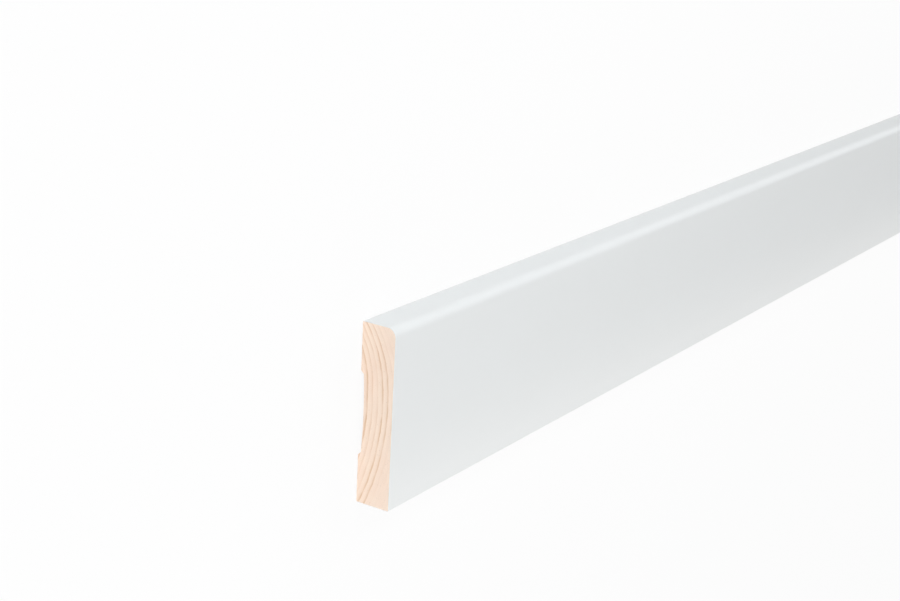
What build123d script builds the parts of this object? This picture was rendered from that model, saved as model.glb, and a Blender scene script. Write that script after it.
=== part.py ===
from build123d import *
import os

# A length of painted pine architrave: one piece of timber, milled to the same section from end to end
# and sawn square at both ends. It lies on its back with its face up. X runs along the length, Y across
# the width with the rounded edge at +Y, and Z through the thickness, from the back at Z = 0 to the face.

# Driving dimensions, in millimetres
LENGTH = 2200.0  # stock length, sawn end to sawn end
WIDTH = 58.0  # across the face, edge to edge
THICKNESS = 12.0  # from the back to the face
FACE_ROUND = 3.0  # radius of the rounded long edge of the face, the one that shows at the opening
FACE_ARRIS = 0.5  # radius that eases the other long edge of the face
BACK_ARRIS = 0.3  # radius that eases both long edges of the back
RELIEF_WIDTH = 27.0  # mouth of the shallow relief along the back, between its two flat lands
RELIEF_DEPTH = 1.0  # depth of the relief at the foot of each shoulder
RELIEF_HOLLOW = 0.4  # how much deeper the relief is in its middle than at its shoulders
SHOULDER_RUN = 1.0  # width of each sloping shoulder of the relief


def planed_blank():
    """The section before the back is relieved: a flat bar with four eased corners."""
    half_width = WIDTH / 2
    corner_radii = {
        (half_width, THICKNESS): FACE_ROUND,
        (-half_width, THICKNESS): FACE_ARRIS,
        (half_width, 0): BACK_ARRIS,
        (-half_width, 0): BACK_ARRIS,
    }
    blank = Rectangle(WIDTH, THICKNESS, align=(Align.CENTER, Align.MIN))
    for (y, z), radius in corner_radii.items():
        corner = blank.vertices().sort_by_distance((y, z, 0)).first
        blank = fillet(corner, radius)
    return blank


def back_relief():
    """The strip that the cutter takes from the back, so that only the two lands touch the wall."""
    mouth = RELIEF_WIDTH / 2
    foot = mouth - SHOULDER_RUN
    shoulders = Polyline((foot, RELIEF_DEPTH), (mouth, 0), (-mouth, 0), (-foot, RELIEF_DEPTH))
    hollow = ThreePointArc(
        (-foot, RELIEF_DEPTH),
        (0, RELIEF_DEPTH + RELIEF_HOLLOW),
        (foot, RELIEF_DEPTH),
    )
    return make_face(shoulders + hollow)


def architrave():
    """The whole moulding: its section, drawn in Y and Z, run from one sawn end to the other."""
    section = planed_blank() - back_relief()
    sawn_end = Plane.YZ.offset(-LENGTH / 2)
    return extrude(sawn_end * section, LENGTH)


os.makedirs("parts", exist_ok=True)
export_step(architrave(), "parts/architrave.step")
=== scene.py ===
# %% [markdown]
# # A painted pine architrave
# An architrave is the flat trim round a door or window. This one is a single length of pine, milled to
# one section, painted white on its face and edges and then sawn to length, so its ends are bare wood.
# The packed CAD part is the fixed frame of this lesson. It lies on its back with its face up: X runs
# along the length, Y across the width towards the rounded edge, and Z from the back to the face.

# %% Load the frame
import math

import bpy
import numpy as np
from mathutils import Matrix, Vector, noise


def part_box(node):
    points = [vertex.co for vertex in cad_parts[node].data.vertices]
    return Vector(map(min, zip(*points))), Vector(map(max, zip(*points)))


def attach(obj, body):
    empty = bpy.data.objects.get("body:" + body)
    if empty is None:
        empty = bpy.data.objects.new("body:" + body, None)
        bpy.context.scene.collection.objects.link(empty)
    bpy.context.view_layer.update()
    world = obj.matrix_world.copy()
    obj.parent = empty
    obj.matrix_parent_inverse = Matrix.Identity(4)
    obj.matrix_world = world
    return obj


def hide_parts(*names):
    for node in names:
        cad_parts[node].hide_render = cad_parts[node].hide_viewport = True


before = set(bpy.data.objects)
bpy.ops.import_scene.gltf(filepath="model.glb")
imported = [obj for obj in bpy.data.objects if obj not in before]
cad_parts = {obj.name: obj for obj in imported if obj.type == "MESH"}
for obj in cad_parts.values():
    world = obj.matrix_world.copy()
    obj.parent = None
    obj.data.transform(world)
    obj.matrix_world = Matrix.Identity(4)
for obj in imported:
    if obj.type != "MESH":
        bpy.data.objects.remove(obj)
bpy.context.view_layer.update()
MM = 0.001
corner_low, corner_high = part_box("architrave")
LENGTH, WIDTH, THICKNESS = (corner_high - corner_low) / MM
print("architrave", round(LENGTH), "x", round(WIDTH), "x", round(THICKNESS), "mm")

# %% [markdown]
# ## The camera
# The photograph shows the moulding standing on its square edge, with the near sawn end towards us.
# Here it lies on its back, so the camera looks down on it and is turned until the width stands upright
# in the picture. It could be placed by eye. Here its place is a measured one: the eye is given in
# millimetres from the near end's back corner on the square edge, with a small roll of the camera.

# %% Camera
IMAGE_WIDTH_PX = 900
FOCAL_LENGTH_PX = 1713.9
SENSOR_MM = 36.0
EYE_MM = Vector((-388.3, 216.15, 282.77))
AIM_MM = Vector((28.03, 60.35, 11.94))
ROLL_DEG = 3.077

near_corner = corner_low
eye = near_corner + EYE_MM * MM
view = (AIM_MM - EYE_MM).normalized()
side = view.cross(Vector((0, 1, 0))).normalized()
upright = Matrix((side, side.cross(view), -view)).transposed()
lens_data = bpy.data.cameras.new("photo_camera")
lens_data.sensor_fit = "HORIZONTAL"
lens_data.sensor_width = SENSOR_MM
lens_data.lens = FOCAL_LENGTH_PX / IMAGE_WIDTH_PX * SENSOR_MM
lens_data.clip_start = 0.01
camera = bpy.data.objects.new("photo_camera", lens_data)
turned = upright @ Matrix.Rotation(math.radians(ROLL_DEG), 3, "Z")
camera.matrix_world = Matrix.Translation(eye) @ turned.to_4x4()
bpy.context.scene.collection.objects.link(camera)
bpy.context.scene.camera = camera
bpy.context.scene.view_settings.view_transform = "Standard"
print("lens", round(lens_data.lens, 1), "mm, right", [round(c, 4) for c in turned.col[0]])

# %% [markdown]
# ## The section
# A cutter block mills the whole section in one pass: a 3 mm round on the edge that shows, eased corners
# elsewhere, and a shallow relief along the back, so that only two flat lands touch the wall.
# A bevelled curve could carry this outline, but its end caps would be two flat, coarse polygons.
# Here the section is kept as two lines over the width, one for the back and one for the face,
# because the space between two lines divides into an even grid, which the sawn ends need.

# %% The two lines of the section, in millimetres
FACE_ROUND = 3.0
FACE_ARRIS = 0.5
BACK_ARRIS = 0.3
RELIEF_WIDTH = 27.0
RELIEF_DEPTH = 1.0
RELIEF_HOLLOW = 0.4
SHOULDER_RUN = 1.0
HALF_WIDTH = WIDTH / 2
HALF_LENGTH = LENGTH / 2
MOUTH = RELIEF_WIDTH / 2
FOOT = MOUTH - SHOULDER_RUN


def fall(out, radius):
    """How far a rounded corner falls away from the flat, at places counted outwards from the middle."""
    past = np.clip(out - HALF_WIDTH + radius, 0, radius)
    return radius - np.sqrt(radius**2 - past**2)


def face_line(y):
    return THICKNESS - fall(y, FACE_ROUND) - fall(-y, FACE_ARRIS)


def back_line(y):
    out = np.abs(y)
    sweep = (FOOT**2 + RELIEF_HOLLOW**2) / (2 * RELIEF_HOLLOW)
    hollow = np.sqrt(sweep**2 - np.minimum(out, FOOT) ** 2) - sweep + RELIEF_DEPTH + RELIEF_HOLLOW
    shoulder = np.clip((MOUTH - out) / SHOULDER_RUN, 0, 1) * RELIEF_DEPTH
    return np.where(out < FOOT, hollow, shoulder) + fall(out, BACK_ARRIS)


print("thickness over the relief", np.round(face_line(np.zeros(1)) - back_line(np.zeros(1)), 2), "mm")

# %% [markdown]
# ## A grid over the section
# The columns stand closest round the two face corners, where the outline bends, and one column stands
# on each corner of the relief. Each column is then cut into the same number of rows.

# %% Columns and rows
CELL = 0.3
CORNER_STEPS = 14


def column_places():
    """Places across the width, from the square edge to the rounded one."""
    turn = np.linspace(0, math.pi / 2, CORNER_STEPS + 1)
    square_corner = FACE_ARRIS * (1 - np.cos(turn)) - HALF_WIDTH
    round_corner = FACE_ROUND * (np.sin(turn) - 1) + HALF_WIDTH
    stops = (square_corner[-1], -MOUTH, -FOOT, FOOT, MOUTH, round_corner[0])
    flats = [
        np.linspace(start, end, math.ceil((end - start) / CELL) + 1)[1:]
        for start, end in zip(stops, stops[1:])
    ]
    return np.concatenate([square_corner, *flats, round_corner[1:]])


columns = column_places()
rows = np.linspace(0, 1, math.ceil(THICKNESS / CELL) + 1)
grid_y = np.repeat(columns[:, None], len(rows), axis=1)
grid_z = back_line(columns)[:, None] + (face_line(columns) - back_line(columns))[:, None] * rows
print("section grid", grid_y.shape, "columns and rows")

# %% [markdown]
# ## Growth rings
# The sawn end shows arcs of growth rings. They bulge towards the face, so the middle of the tree lay
# behind the back, and they bend more sharply near the rounded edge. The grain also climbs a little along
# the length, which draws long arches on the bare back. A flat picture of rings would fit one end only.
# One formula for the whole tree gives both ends and the back together. It uses only plain arithmetic,
# so it works on arrays here and on shader sockets later.

# %% One formula for the rings
PITH_Y = 4.9
PITH_Z = -70.1
BEND_FROM = 11.6
RING_BEND = 0.0099
GRAIN_CLIMB = 0.006
FIRST_RING = 72.9
RING_WIDTH = 1.86
LINE_PEAK = 0.86
SLOW_START = 0.2
QUICK_START = 0.55
SLOW_SHARE = 0.35
WINTER = 0.02


def ring_count(x, y, z):
    """Rings from the first one in the board. The whole number is the year, and the rest the season."""
    past_bend = (abs(y - BEND_FROM) + y - BEND_FROM) / 2
    from_pith = ((y - PITH_Y) ** 2 + (z - PITH_Z) ** 2) ** 0.5 + RING_BEND * past_bend**2
    return (from_pith + GRAIN_CLIMB * (x + HALF_LENGTH) - FIRST_RING) / RING_WIDTH + LINE_PEAK


def ramp(value, start, end):
    """A soft step from 0 at start to 1 at end."""
    share = (value - start) / (end - start)
    held = (abs(share) - abs(share - 1) + 1) / 2
    return held * held * (3 - 2 * held)


def late_wood(season):
    """The dark, hard wood of late summer: it comes in slowly, then quickly, and stops at the winter."""
    slow = ramp(season, SLOW_START, LINE_PEAK)
    quick = ramp(season, QUICK_START, LINE_PEAK)
    darkening = SLOW_SHARE * slow + (1 - SLOW_SHARE) * quick
    return darkening * (1 - ramp(season, LINE_PEAK + WINTER, 1.0))


middle_z = np.array([RELIEF_DEPTH + RELIEF_HOLLOW, THICKNESS])
middle = ring_count(-HALF_LENGTH, np.zeros(2), middle_z)
print("rings across the middle of the near end", np.round(middle, 2))

# %% [markdown]
# ## The sawn ends
# A fine cross-cut leaves the hard late wood a hair proud, with faint arcs where the teeth passed, and
# it takes the crispness off the rim. Bump alone would vanish in the mesh that is kept, so these are real
# heights, a few hundredths of a millimetre. They only go inwards, so the length stays what it is.

# %% Relief of a sawn end
RING_RIDGE = 0.035
SAW_RADIUS = 125.0
SAW_PITCH = 1.4
SAW_MARK = 0.012
BLADE_SHIFT = 35.0
FIBRE = 0.02
FIBRES_PER_MM = 1.9
RIM_WEAR = 0.05


def fibre_height(y, z, seed):
    """Smooth noise from -1 to 1 over the end, about half a millimetre across."""
    places = zip(y.ravel() * FIBRES_PER_MM, z.ravel() * FIBRES_PER_MM)
    heights = [noise.noise(Vector((a, b, seed))) for a, b in places]
    return np.array(heights).reshape(y.shape)


def sunk(x, seed):
    """How far each grid point of the end at x lies inside the full length."""
    soft = 1 - late_wood(ring_count(x, grid_y, grid_z) % 1)
    from_blade = np.hypot(grid_y + BLADE_SHIFT * seed, grid_z + SAW_RADIUS)
    teeth = 0.5 + 0.5 * np.sin(from_blade * 2 * math.pi / SAW_PITCH)
    depth = RING_RIDGE * soft + SAW_MARK * teeth + FIBRE * fibre_height(grid_y, grid_z, seed)
    depth[[0, -1], :] += RIM_WEAR
    depth[:, [0, -1]] += RIM_WEAR
    return depth - depth.min()


near_depth = sunk(-HALF_LENGTH, 1)
far_depth = sunk(HALF_LENGTH, 2)
print("deepest point of the near end", round(float(near_depth.max()), 3), "mm")

# %% [markdown]
# ## One closed mesh
# The rim of each end grid is a loop of points. Repeating that loop at stations along the length and
# joining neighbours with four-sided faces makes the long sides, and the ends close them, so the whole
# moulding is one watertight mesh. The stations crowd near the ends, where the saw's wear fades out.

# %% Points
NEAR_STATIONS = (0.25, 0.7, 1.6, 3.5, 8.0, 20.0, 50.0)
STATION_STEP = 100.0

count = grid_y.size
numbers = np.arange(count).reshape(grid_y.shape)
rim = np.concatenate([numbers[:, 0], numbers[-1, 1:], numbers[-2::-1, -1], numbers[0, -2:0:-1]])
rim_y, rim_z = grid_y.ravel()[rim], grid_z.ravel()[rim]
middle_run = np.arange(-HALF_LENGTH + STATION_STEP, HALF_LENGTH - STATION_STEP / 2, STATION_STEP)
near_run = np.array(NEAR_STATIONS) - HALF_LENGTH
stations = np.concatenate([near_run, middle_run, -near_run[::-1]])

near_points = np.stack([near_depth - HALF_LENGTH, grid_y, grid_z], axis=2).reshape(-1, 3)
far_points = np.stack([HALF_LENGTH - far_depth, grid_y, grid_z], axis=2).reshape(-1, 3)
side_points = [np.stack([np.full(len(rim), x), rim_y, rim_z], axis=1) for x in stations]
points = np.concatenate([near_points, far_points, *side_points]) * MM
print(len(points), "points at", len(stations), "stations and two ends")

# %% [markdown]
# Each face is a row of four point numbers. The end grids give theirs directly, turned round at the far
# end so that they look outwards, and every pair of neighbouring loops gives a belt of them.

# %% Faces
end_quads = np.stack(
    [numbers[:-1, :-1], numbers[:-1, 1:], numbers[1:, 1:], numbers[1:, :-1]], axis=2
).reshape(-1, 4)
first_loop = 2 * count
inner_loops = [first_loop + len(rim) * i + np.arange(len(rim)) for i in range(len(stations))]
loops = [rim, *inner_loops, rim + count]
side_quads = np.concatenate(
    [
        np.stack([here, np.roll(here, -1), np.roll(there, -1), there], axis=1)
        for here, there in zip(loops, loops[1:])
    ]
)
quads = np.concatenate([end_quads, end_quads[:, ::-1] + count, side_quads])
print(len(quads), "four-sided faces")

# %% [markdown]
# ## A map for baking
# When the finish is baked to pictures, the rings on the ends need far more pixels than the long plain
# sides. The automatic unwrap would share them out evenly. This map lays the two ends large along the
# bottom, and the four long sides above them as one sheet, cut open along the square edge of the back.

# %% Lay out the bake map
END_ROW = 0.115
MARGIN = 0.008
END_SCALE = (0.5 - 2 * MARGIN) / WIDTH

girth_steps = np.hypot(np.diff(np.append(rim_y, rim_y[0])), np.diff(np.append(rim_z, rim_z[0])))
girth = np.concatenate([[0], np.cumsum(girth_steps)])
sheet_height = (1 - END_ROW - MARGIN) / girth[-1]
end_map = np.stack([grid_y + HALF_WIDTH, grid_z], axis=2).reshape(-1, 2) * END_SCALE + MARGIN
near_map = end_map[end_quads]
far_map = end_map[end_quads[:, ::-1]] + (0.5, 0)

along = np.concatenate([[-HALF_LENGTH], stations, [HALF_LENGTH]])
along = MARGIN + (along + HALF_LENGTH) / LENGTH * (1 - 2 * MARGIN)
up = END_ROW + girth * sheet_height
side_map = np.concatenate(
    [
        np.stack(
            [
                np.stack([np.full(len(rim), here), up[:-1]], axis=1),
                np.stack([np.full(len(rim), here), up[1:]], axis=1),
                np.stack([np.full(len(rim), there), up[1:]], axis=1),
                np.stack([np.full(len(rim), there), up[:-1]], axis=1),
            ],
            axis=1,
        )
        for here, there in zip(along, along[1:])
    ]
)
bake_map = np.concatenate([near_map, far_map, side_map])
map_range = [round(float(limit), 3) for limit in (bake_map.min(), bake_map.max())]
print("girth", round(float(girth[-1]), 1), "mm, map from and to", map_range)

# %% [markdown]
# ## The piece
# Points, faces and map become one object. Flat shading would show every step of the round, and smooth
# shading alone would smear the light over the sawn rim. So it is smooth, except where two faces meet at
# more than 30 degrees. The piece stands in for the CAD solid, in the same place.

# %% Make the piece
SHARP_DEG = 30

mesh = bpy.data.meshes.new("painted_architrave")
mesh.from_pydata(points.tolist(), [], quads.tolist())
mesh.uv_layers.new(name="OFBake").data.foreach_set("uv", bake_map.ravel())
mesh.shade_smooth()
mesh.set_sharp_from_angle(angle=math.radians(SHARP_DEG))
piece = bpy.data.objects.new("painted_architrave", mesh)
bpy.context.scene.collection.objects.link(piece)
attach(piece, "root")
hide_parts("architrave")
print("piece", piece.name, "with", len(mesh.polygons), "faces, valid", not mesh.validate())

# %% [markdown]
# ## Shader sums in plain Python
# A finish is a tree of nodes. Placing each node by hand hides the idea, so one small class wraps a
# node's output and turns Python's own signs into Math nodes. The ring formula above then works
# unchanged.

# %% A socket that does sums
class Wire:
    """One output of a node, for use in sums."""

    def __init__(self, tree, socket):
        self.tree = tree
        self.socket = socket

    def node(self, kind, settings=(), sockets=(), output=0):
        """Adds a node: its settings first, then the values and links of its sockets."""
        added = self.tree.nodes.new(kind)
        for name, value in dict(settings).items():
            setattr(added, name, value)
        for name, value in dict(sockets).items():
            if isinstance(value, Wire):
                self.tree.links.new(value.socket, added.inputs[name])
            else:
                added.inputs[name].default_value = value
        return Wire(self.tree, added.outputs[output])

    def math(self, operation, *values):
        """Adds a Math node, for sums that have no sign in Python."""
        return self.node("ShaderNodeMath", {"operation": operation}, enumerate(values))

    def sine(self):
        return self.math("SINE", self)

    def __add__(self, other):
        return self.math("ADD", self, other)

    def __sub__(self, other):
        return self.math("SUBTRACT", self, other)

    def __rsub__(self, other):
        return self.math("SUBTRACT", other, self)

    def __mul__(self, other):
        return self.math("MULTIPLY", self, other)

    def __truediv__(self, other):
        return self.math("DIVIDE", self, other)

    def __rtruediv__(self, other):
        return self.math("DIVIDE", other, self)

    def __pow__(self, other):
        return self.math("POWER", self, other)

    def __mod__(self, other):
        return self.math("FLOORED_MODULO", self, other)

    def __abs__(self):
        return self.math("ABSOLUTE", self)

    __radd__ = __add__
    __rmul__ = __mul__


print("a wire has", sum(callable(item) for item in vars(Wire).values()), "methods")

# %% [markdown]
# ## Colours and noise
# A Math node turns a colour grey, so colours go through Mix and Vector Math nodes. What is uneven in
# wood and paint comes from smooth noise, which these helpers make from any three numbers.

# %% Helpers for colours and noise
def blend(amount, first, second):
    """A colour between two others."""
    return amount.node("ShaderNodeMix", {"data_type": "RGBA"}, {0: amount, 6: first, 7: second}, 2)


def shaded(colour, amount):
    """A colour made darker or lighter by a number."""
    return amount.node("ShaderNodeVectorMath", {"operation": "SCALE"}, {0: colour, "Scale": amount})


def cloud(x, y, z, detail=2.0):
    """Noise from 0 to 1, about one unit across."""
    place = x.node("ShaderNodeCombineXYZ", (), {0: x, 1: y, 2: z})
    return x.node("ShaderNodeTexNoise", (), {"Vector": place, "Scale": 1.0, "Detail": detail})


print("helpers:", [helper.__name__ for helper in (blend, shaded, cloud)])

# %% [markdown]
# ## One material for wood and paint
# Paint and bare wood share one surface, so one material serves the whole piece. It is measured in
# millimetres from the piece's own middle, so the grain runs through the wood and meets itself at every
# edge. Two masks, taken from the way that a face looks, tell the sawn ends and the back from the sides.

# %% Places and masks
END_TURN = (0.6, 0.8)
BACK_TURN = (0.4, 0.7)

finish = bpy.data.materials.new("painted_pine")
finish.use_nodes = True
tree = finish.node_tree
tree.nodes.clear()
output = tree.nodes.new("ShaderNodeOutputMaterial")
start = Wire(tree, tree.nodes.new("ShaderNodeTexCoord").outputs["Object"])
place = start.node("ShaderNodeVectorMath", {"operation": "SCALE"}, {0: start, "Scale": 1 / MM})
x, y, z = (place.node("ShaderNodeSeparateXYZ", (), {0: place}, axis) for axis in range(3))
facing = start.node("ShaderNodeNewGeometry", (), (), "Normal")
facing_x, facing_z = (facing.node("ShaderNodeSeparateXYZ", (), {0: facing}, axis) for axis in (0, 2))
on_end = ramp(abs(facing_x), *END_TURN)
on_back = ramp(0 - facing_z, *BACK_TURN)
from_end = x + HALF_LENGTH


def patches(along, across, deep):
    """Noise in patches of these sizes, in millimetres along, across and through the board."""
    return cloud(from_end / along, y / across, z / deep)


print("finish started with", len(tree.nodes), "nodes")

# %% [markdown]
# ## Lines in the wood
# Good and poor summers make strong and faint lines, and each line also fades and returns along its own
# arc. The bare ring formula would look machine-made. So the rings first sway and waver a little, and each
# year then gets a strength of its own, from two waves over the years and from patches along the arc.

# %% Strength of the ring lines
LONG_BEND, LONG_SWAY = 210.0, 1.6
SHORT_BEND, SHORT_SWAY = 97.0, 0.8
WAVER, FINE_WAVER = 0.5, 0.25
GOOD_SUMMERS, GOOD_PHASE = 3.55, 1.92
MEAN_SUMMER, SUMMER_SWING = 0.65, 0.32
THIN_SPELLS, THIN_PHASE = 11.0, 0.373
FAINTEST, PATCHINESS = 0.5, 0.65
YEAR_STEP = 5.3

sway = (from_end / LONG_BEND).sine() * LONG_SWAY + (from_end / SHORT_BEND).sine() * SHORT_SWAY
waver = (patches(60, 5, 5) - 0.5) * WAVER + (patches(25, 1.5, 1.5) - 0.5) * FINE_WAVER
rings = ring_count(x, y, z) + (sway + waver) / RING_WIDTH
season = rings % 1
year = rings - season
good_summer = MEAN_SUMMER + SUMMER_SWING * (year * (2 * math.pi / GOOD_SUMMERS) + GOOD_PHASE).sine()
thin_spell = ramp((year * (2 * math.pi / THIN_SPELLS) + THIN_PHASE).sine(), -0.9, 0.4)
patch = ramp(cloud(from_end / 80, y / 7, year * YEAR_STEP), 0.34, 0.62)
line = late_wood(season) * good_summer * thin_spell * (patch * PATCHINESS + FAINTEST)
print("ring lines made,", len(tree.nodes), "nodes")

# %% [markdown]
# ## Bare pine
# Fresh pine is pale cream between the rings and a light tan in the late wood. Fine streaks follow the
# rings, and the fibres, drawn out along the length, show as specks on the ends and as hairs on the back.
# A picture of wood would fit one face only. All of this comes from the place inside the wood instead, so
# it agrees where two faces meet.

# %% Colour of the bare pine
EARLY_WOOD = (0.935, 0.77, 0.645, 1)
LATE_WOOD = (0.755, 0.528, 0.36, 1)
WARM_PINE = (0.91, 0.69, 0.57, 1)
WARM_SHARE = 0.35
STREAK_SHADE = 0.10
HAIR_WIDTH, HAIR_SHADE = 0.3125, 0.14
DUCT_GAP, DUCT_SHADE = 1.3, 0.12
# How much darker the wood grows towards the face, and lighter towards the back
FACE_SIDE_DARKENING = 0.08

streak = cloud(rings * 5, y / 6, from_end / 90) - 0.5
hair = patches(12, HAIR_WIDTH, HAIR_WIDTH) - 0.5
warmth = ramp(patches(70, 10, 6), 0.35, 0.75) * WARM_SHARE
early = blend(warmth, EARLY_WOOD, WARM_PINE)
pine = blend(line, early, LATE_WOOD)
duct_place = place.node("ShaderNodeCombineXYZ", (), {0: from_end / 40, 1: y / DUCT_GAP, 2: z / DUCT_GAP})
duct_reach = place.node("ShaderNodeTexVoronoi", (), {"Vector": duct_place, "Scale": 1.0}, "Distance")
duct = 1 - ramp(duct_reach, 0.07, 0.16)
# Darker towards the face side of the board and lighter towards the back, a plain gradient through the
# thickness
darker_towards_face = (z / THICKNESS - 0.5) * FACE_SIDE_DARKENING
pine = shaded(pine, streak * STREAK_SHADE + hair * HAIR_SHADE + 1.0 - duct * DUCT_SHADE - darker_towards_face)
print("pine has", len(tree.nodes), "nodes")

# %% [markdown]
# ## The paint film
# The factory sprays the face and both long edges, so the film stops at the back's corners with a little
# mist beyond them, and the saw then bares the ends, where the film shows as a hairline round the rim.
# It could be a second skin of mesh, but a real film is a tenth of a millimetre and no piece of its own.
# Here it is a mask between pine and paint, measured from the painted outline.

# %% Where the paint is
FILM = 0.12
RAGGED, RAG_SIZE = 0.12, 1 / 1.3
MIST, MIST_RAGGED = 2.2, 1.5
MIST_COVER = 0.8


def beyond(value, limit):
    """How far a value lies past a limit, and 0 before it."""
    return value.math("MAXIMUM", value - limit, 0.0)


past_y = beyond(y, HALF_WIDTH - FACE_ROUND)
past_z = beyond(z, THICKNESS - FACE_ROUND)
inside_round = FACE_ROUND - (past_y**2 + past_z**2) ** 0.5
inside = inside_round.math("MINIMUM", inside_round, y + HALF_WIDTH)
ragged = (patches(1, RAG_SIZE, RAG_SIZE) - 0.5) * RAGGED
film_rim = 1 - ramp(inside + ragged, FILM * 0.6, FILM)
from_edge = HALF_WIDTH - abs(y)
mist_edge = from_edge + (patches(3, 1, 1) - 0.5) * MIST_RAGGED
mist = (1 - ramp(mist_edge, 0.1, MIST)) * MIST_COVER
painted = (1 - on_end) * (1 - on_back * (1 - mist)) + on_end * film_rim
print("paint mask made,", len(tree.nodes), "nodes")

# %% [markdown]
# ## Satin white
# Sprayed satin paint is never quite even. It has a fine peel and faint strokes along the length, and
# the grain below still shows as a trace. These are hundredths of a millimetre high or less, too fine
# for mesh, so they are small changes of roughness and a bump.

# %% Paint, roughness and fine relief
PAINT = (0.805, 0.818, 0.817, 1)
THIN_PAINT = (0.795, 0.807, 0.802, 1)
PAINT_ROUGH, PINE_ROUGH = 0.55, 0.78
PEEL_MM, STROKE_MM, GRAIN_MM = 0.004, 0.006, 0.004
HAIR_MM, RING_MM = 0.030, 0.020
STROKE_WIDTH = 1 / 1.1

paint = blend(patches(45, 14, 14), PAINT, THIN_PAINT)
peel = patches(1.6, 1.2, 1.2) - 0.5
stroke = patches(60, STROKE_WIDTH, STROKE_WIDTH) - 0.5
colour = blend(painted, pine, paint)
paint_rough = PAINT_ROUGH + peel * 0.05 + stroke * 0.05
pine_rough = PINE_ROUGH - line * 0.10 + hair * 0.08
roughness = painted * paint_rough + (1 - painted) * pine_rough
paint_height = peel * PEEL_MM + stroke * STROKE_MM + line * GRAIN_MM
pine_height = hair * HAIR_MM + line * RING_MM
height = painted * paint_height + (1 - painted) * pine_height
normal = height.node("ShaderNodeBump", (), {"Strength": 1.0, "Distance": MM, "Height": height})
surface = start.node(
    "ShaderNodeBsdfPrincipled",
    (),
    {"Base Color": colour, "Roughness": roughness, "Normal": normal, "IOR": 1.5},
)
tree.links.new(surface.socket, output.inputs["Surface"])
mesh.materials.append(finish)
print("finish done with", len(tree.nodes), "nodes")

# %% [markdown]
# ## A white floor
# The moulding was photographed on pure white. More light would bleach it, so the floor shows white to
# the camera and in reflections only, and for all other light it is plain pale matt. A small share of
# what the camera sees of it is still that matt surface, so the moulding keeps its soft shadow.

# %% Floor
FLOOR_HALF = 60.0
FLOOR_SHADE = (0.9, 0.9, 0.9, 1)
PURE_WHITE = (1, 1, 1, 1)
SHADOW_SHARE = 0.08


def seen_directly(tree):
    """1 for what the camera sees, also in a reflection, and 0 for light that only bounces."""
    path = tree.nodes.new("ShaderNodeLightPath")
    camera_ray = Wire(tree, path.outputs["Is Camera Ray"])
    glossy_ray = Wire(tree, path.outputs["Is Glossy Ray"])
    clear_ray = Wire(tree, path.outputs["Is Transmission Ray"])
    return camera_ray.math("MINIMUM", camera_ray + glossy_ray + clear_ray, 1.0)


floor_mesh = bpy.data.meshes.new("floor")
corner_signs = ((-1, -1), (1, -1), (1, 1), (-1, 1))
floor_corners = [(a * FLOOR_HALF, b * FLOOR_HALF, corner_low.z) for a, b in corner_signs]
floor_mesh.from_pydata(floor_corners, [], [(0, 1, 2, 3)])
floor = bpy.data.objects.new("floor", floor_mesh)
bpy.context.scene.collection.objects.link(floor)

pale = bpy.data.materials.new("pale_floor")
pale.use_nodes = True
pale.node_tree.nodes.clear()
seen = seen_directly(pale.node_tree)
matt = seen.node("ShaderNodeBsdfDiffuse", (), {"Color": FLOOR_SHADE})
white = seen.node("ShaderNodeEmission", (), {"Color": PURE_WHITE, "Strength": 1.0})
mixed = seen.node("ShaderNodeMixShader", (), {0: seen * (1 - SHADOW_SHARE), 1: matt, 2: white})
floor_out = pale.node_tree.nodes.new("ShaderNodeOutputMaterial")
pale.node_tree.links.new(mixed.socket, floor_out.inputs["Surface"])
floor_mesh.materials.append(pale)
print("floor", 2 * FLOOR_HALF, "m wide")

# %% [markdown]
# ## A white surround
# The world follows the same idea. It is white where it is seen, and a weak, even light everywhere else,
# which keeps the sides that no lamp reaches from going black.

# %% World
AMBIENT = 0.40

world = bpy.data.worlds.new("white_surround")
world.use_nodes = True
world.node_tree.nodes.clear()
sky_seen = seen_directly(world.node_tree)
sky_light = sky_seen.node("ShaderNodeBackground", (), {"Color": PURE_WHITE, "Strength": AMBIENT})
sky_white = sky_seen.node("ShaderNodeBackground", (), {"Color": PURE_WHITE, "Strength": 1.0})
sky = sky_seen.node("ShaderNodeMixShader", (), {0: sky_seen, 1: sky_light, 2: sky_white})
sky_out = world.node_tree.nodes.new("ShaderNodeOutputWorld")
world.node_tree.links.new(sky.socket, sky_out.inputs["Surface"])
bpy.context.scene.world = world
print("even light from the surround", AMBIENT)

# %% [markdown]
# ## Soft light
# In the photograph the rounded edge is the brightest strip, and the paint grows darker along the length.
# Small lamps alone would leave most of a 2.2 m length in the dark, and suns alone would light it too
# evenly. So there are two kinds: soft suns for the whole length, and soft boxes for the parts of it.

# %% Two kinds of lamp
COOL_WHITE = (0.98, 1.012, 1.035)
WARM_WHITE = (1.06, 1.0, 0.95)
PLAIN_WHITE = (1.0, 1.0, 1.0)


def hang(name, lamp, colour, matrix):
    """Puts a lamp into the scene, turned and placed by a matrix."""
    lamp.color = colour
    holder = bpy.data.objects.new(name, lamp)
    holder.matrix_world = matrix
    bpy.context.scene.collection.objects.link(holder)
    return holder


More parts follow.
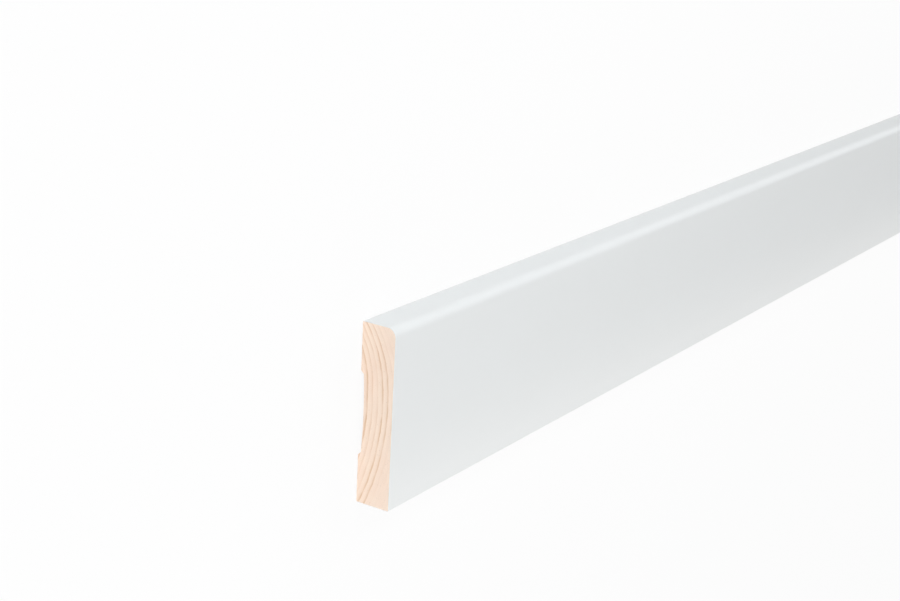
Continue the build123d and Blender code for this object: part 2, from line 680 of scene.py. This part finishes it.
def soft_sun(name, towards, spread_deg, strength, colour=PLAIN_WHITE):
    """Even light over the whole length, from the given direction."""
    lamp = bpy.data.lights.new(name, "SUN")
    lamp.energy = strength
    lamp.angle = math.radians(spread_deg)
    hang(name, lamp, colour, Vector(towards).to_track_quat("Z", "Y").to_matrix().to_4x4())


def soft_box(name, place_mm, aim_mm, size_mm, power, colour=PLAIN_WHITE, spread_deg=180):
    """A flat lamp, placed and aimed in millimetres from the near end's back corner on the square edge."""
    lamp = bpy.data.lights.new(name, "AREA")
    lamp.shape = "RECTANGLE"
    lamp.size, lamp.size_y = Vector(size_mm) * MM
    lamp.energy = power
    lamp.spread = math.radians(spread_deg)
    stand = Vector(place_mm) * MM
    turn = (Vector(aim_mm) * MM - stand).to_track_quat("-Z", "Y").to_matrix().to_4x4()
    hang(name, lamp, colour, Matrix.Translation(near_corner + stand) @ turn).visible_camera = False


print("lamp kinds:", soft_sun.__name__, "and", soft_box.__name__)

# %% [markdown]
# One sun stands far behind, where the rounded edge mirrors it, and a weaker one faces the square edge.
# A strip beside the near end gives the photograph's fall of light, and a wide box helps the far part.
# The end box lights the sawn end. It stands to the side, so that the face doesn't mirror it along the
# length, and its narrow spread keeps it off the floor. The last strip hangs low over the face's square
# corner, where the paint is a little brighter.

# %% Hang the lamps
GRID_DEG = 60

soft_sun("sheen_sun", (0.81, 0.46, 0.345), 58, 1.46, COOL_WHITE)
soft_sun("fill_sun", (0.25, -0.94, 0.22), 20, 0.65)
soft_box("near_strip", (-60, 512, 472), (-20, 58, 12), (420, 200), 1.17, COOL_WHITE)
soft_box("far_box", (1650, 230, 560), (1650, 29, 12), (1300, 400), 1.2, COOL_WHITE)
soft_box("end_box", (-688, -182, 307), (0, 29, 6), (350, 350), 0.33, PLAIN_WHITE, GRID_DEG)
soft_box("edge_strip", (1100, -3, 30), (1100, 4, 12), (2400, 6), 0.026, WARM_WHITE)

# %% [markdown]
